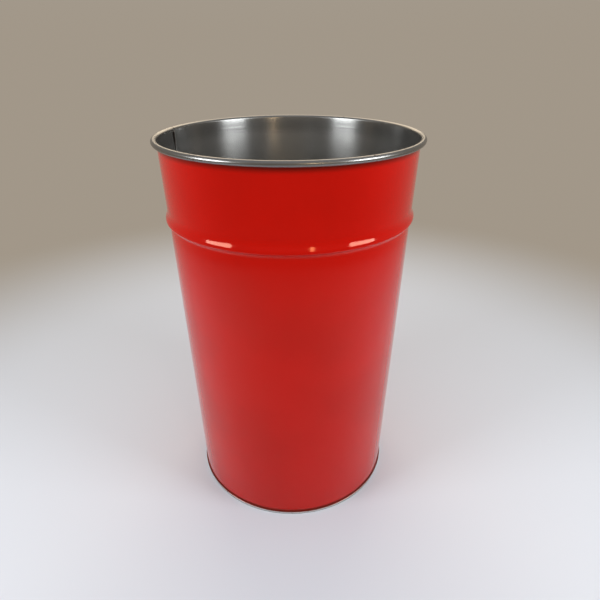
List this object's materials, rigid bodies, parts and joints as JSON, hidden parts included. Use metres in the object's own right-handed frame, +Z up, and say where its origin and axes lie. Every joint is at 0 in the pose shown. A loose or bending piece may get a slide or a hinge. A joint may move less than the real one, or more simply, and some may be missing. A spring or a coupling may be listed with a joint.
{
  "type": "waste bin",
  "caption": "Open-topped, slightly tapered round waste bin of thin sheet steel, red outside and bare inside, with a rolled rim, a stiffening bead and a seamed base.",
  "frame": {"origin": "on the floor, at the centre of the foot ring", "axes": "+Z up along the bin's axis; -Y faces the picture's viewer and the folded side seam stands at 162 degrees round from +X, at the back left"},
  "size_m": [0.3119, 0.312, 0.477],
  "materials": {
    "enamelled_sheet": "glossy red baked enamel on the outside, bare tinned steel inside and on the rolled rim",
    "drawn_wire": "plain drawn steel wire",
    "bare_tinplate": "bare tinned steel, dull and slightly greyed"
  },
  "bodies": {
    "root": {"body_shell": "enamelled_sheet", "rim_wire": "drawn_wire", "base_pan": "bare_tinplate"}
  },
  "joints": []
}
